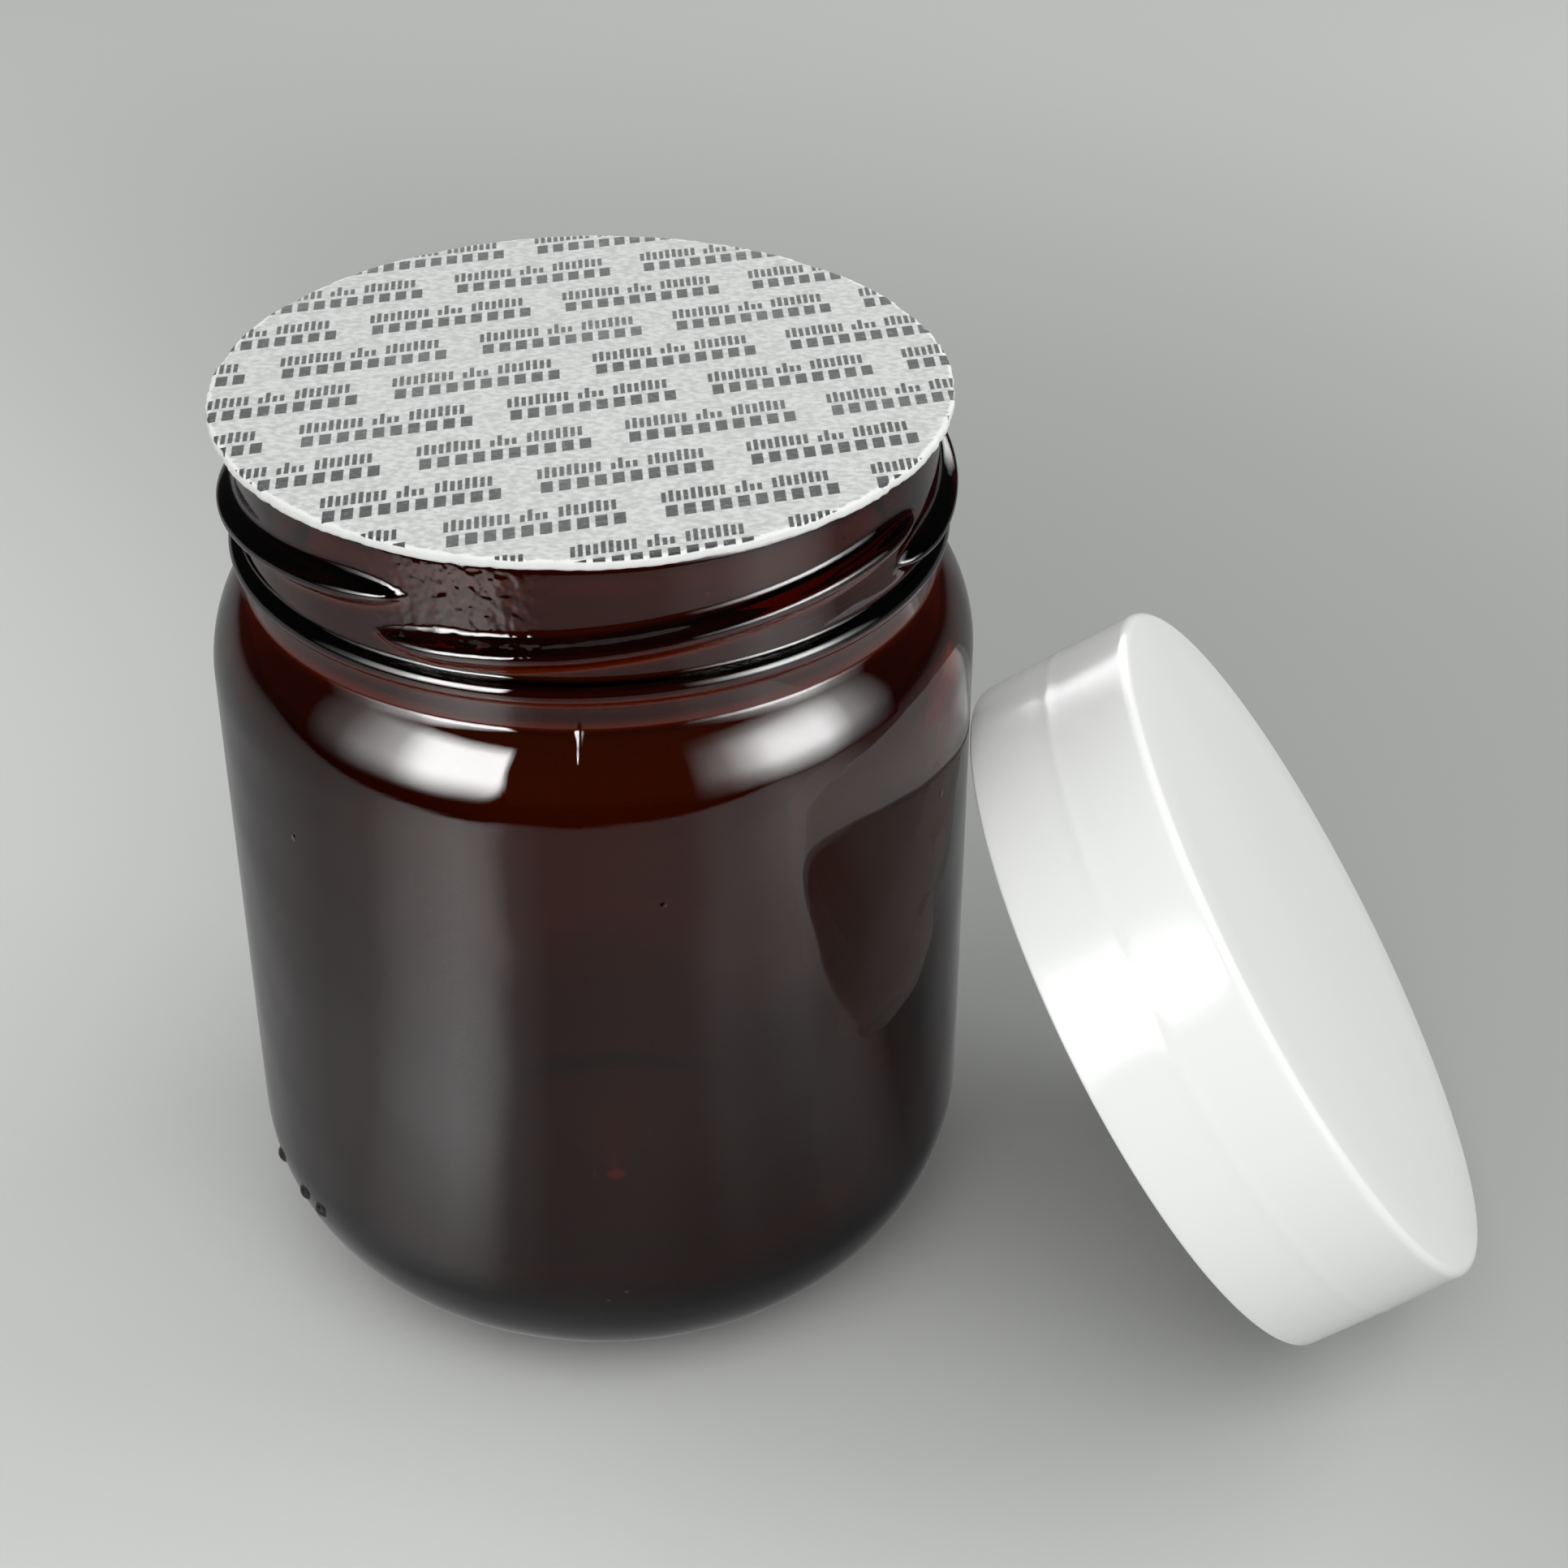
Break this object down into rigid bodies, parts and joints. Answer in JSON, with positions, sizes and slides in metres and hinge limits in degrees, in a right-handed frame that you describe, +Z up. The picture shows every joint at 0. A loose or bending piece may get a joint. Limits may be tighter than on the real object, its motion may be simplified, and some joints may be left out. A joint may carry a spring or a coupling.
{
  "type": "glass jar with screw cap",
  "caption": "Round amber glass jar with a screw-thread neck, a foam seal stuck over its mouth and its white plastic cap leaning on its side.",
  "frame": {"origin": "on the jar's axis, in the plane of the flat foot ring that it stands on", "axes": "+Z up along the jar's axis, +X towards the side that the cap leans on, so the row's longest extent is along X"},
  "size_m": [0.1217, 0.0843, 0.0924],
  "materials": {
    "amber_glass": "polished",
    "seal_foam": "matte",
    "cap_plastic": "gloss"
  },
  "bodies": {
    "root": {"jar": "amber_glass", "seal_liner": "seal_foam", "lid": "cap_plastic"}
  },
  "joints": []
}
